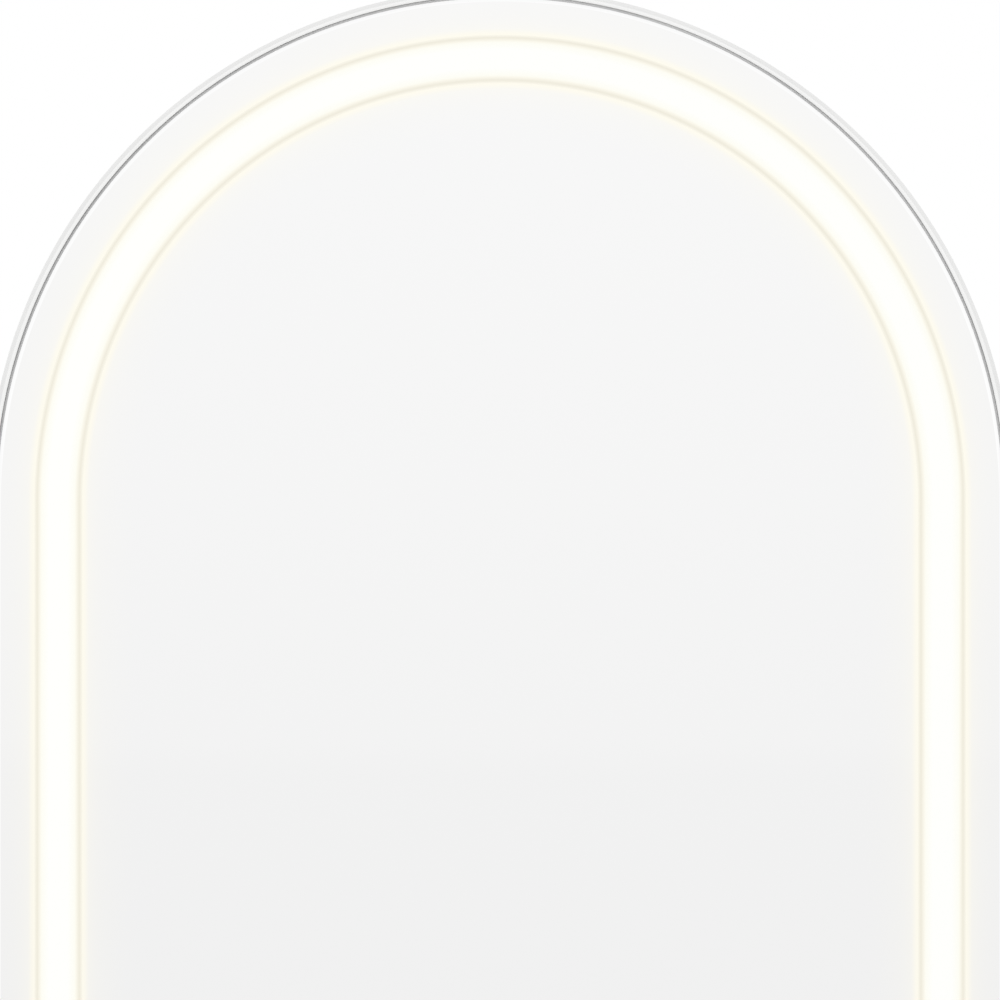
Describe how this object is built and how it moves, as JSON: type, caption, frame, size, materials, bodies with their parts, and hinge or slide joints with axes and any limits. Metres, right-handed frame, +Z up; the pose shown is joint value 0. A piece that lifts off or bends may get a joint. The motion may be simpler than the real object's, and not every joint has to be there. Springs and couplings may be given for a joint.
{
  "type": "full-length lighted mirror",
  "caption": "Arch-topped full-length mirror with a lit band inside its edge, a slim metal frame and a folding rear stand.",
  "frame": {"origin": "on the floor, under the middle of the box round the opened mirror and its stand", "axes": "+Z up, +Y from the mirror's front towards its stand, +X to the right seen from the front"},
  "size_m": [0.61, 0.3852, 1.7808],
  "materials": {
    "frame_finish": "satin white anodised",
    "clear_glass": "polished",
    "mirror_silver": "silvered",
    "seal_rubber": "matt dark grey",
    "foam_tape": "matt foam",
    "tray_white": "white satin",
    "opal_sheet": "opal, lit from behind",
    "led_light": "lit",
    "strip_white": "white solder mask",
    "panel_board": "fine matt texture",
    "rail_steel": "zinc plated",
    "stand_paint": "satin powder coat",
    "pin_steel": "bright",
    "washer_nylon": "natural nylon",
    "foot_rubber": "matt",
    "board_green": "solder mask",
    "case_black": "fine texture",
    "contact_brass": "bright"
  },
  "bodies": {
    "mirror": {"frame_hoop": "frame_finish", "frame_bottom_rail": "frame_finish", "mirror_glass": "clear_glass", "silvering": "mirror_silver", "edge_seal": "seal_rubber", "mounting_tape": "foam_tape", "led_tray": "tray_white", "diffuser": "opal_sheet", "led_chips": "led_light", "led_strip": "strip_white", "back_panel": "panel_board", "hinge_rail": "rail_steel", "hanger_rail": "rail_steel", "corner_key_left": "rail_steel", "corner_key_right": "rail_steel", "wall_hanger_left": "rail_steel", "wall_hanger_right": "rail_steel", "inlet_nut": "rail_steel", "hinge_bracket_left": "stand_paint", "hinge_bracket_right": "stand_paint", "hinge_pin_left": "pin_steel", "hinge_pin_right": "pin_steel", "stop_pin_left": "pin_steel", "stop_pin_right": "pin_steel", "hinge_washers": "washer_nylon", "foot_left": "foot_rubber", "foot_right": "foot_rubber", "touch_board": "board_green", "controller_board": "board_green", "controller_case": "case_black", "controller_lid": "case_black", "inlet_body": "case_black", "inlet_pin": "contact_brass"},
    "stand": {"stand_tube": "stand_paint", "stand_lug_left": "stand_paint", "stand_lug_right": "stand_paint", "stand_sleeve_left": "foot_rubber", "stand_sleeve_right": "foot_rubber"}
  },
  "joints": [
    {"name": "stand_hinge", "type": "hinge", "parent": "mirror", "child": "stand", "pos_m": [0, 0.02783, 0.9851], "axis": [1, 0, 0], "range_deg": [-19, 0]}
  ]
}
